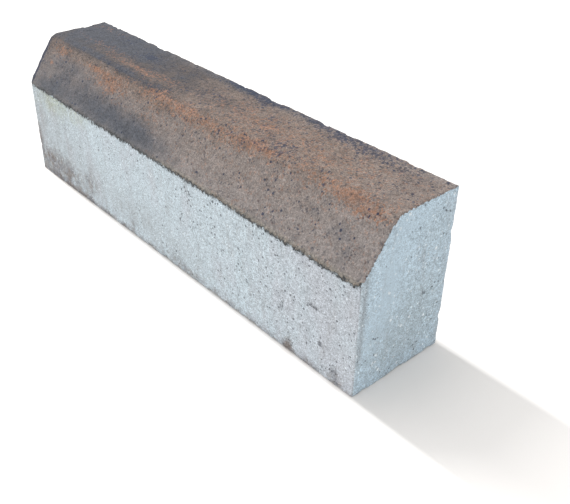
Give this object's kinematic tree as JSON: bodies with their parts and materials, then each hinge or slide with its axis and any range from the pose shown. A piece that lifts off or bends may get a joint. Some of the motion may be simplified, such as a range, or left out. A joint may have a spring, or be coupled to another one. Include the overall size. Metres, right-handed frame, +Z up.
{
  "type": "kerb stone",
  "caption": "Straight concrete kerb stone with a splayed, rounded road edge, a coloured top and a plain grey body.",
  "frame": {"origin": "middle of the bed face that the stone stands on", "axes": "+X along the kerb, +Y from the road face to the back, +Z up"},
  "size_m": [1, 0.2, 0.3],
  "materials": {
    "kerb_concrete": "two-tone pressed concrete: grey body, top and splay in brown, rust and anthracite face mix"
  },
  "bodies": {
    "root": {"kerb_stone": "kerb_concrete"}
  },
  "joints": []
}
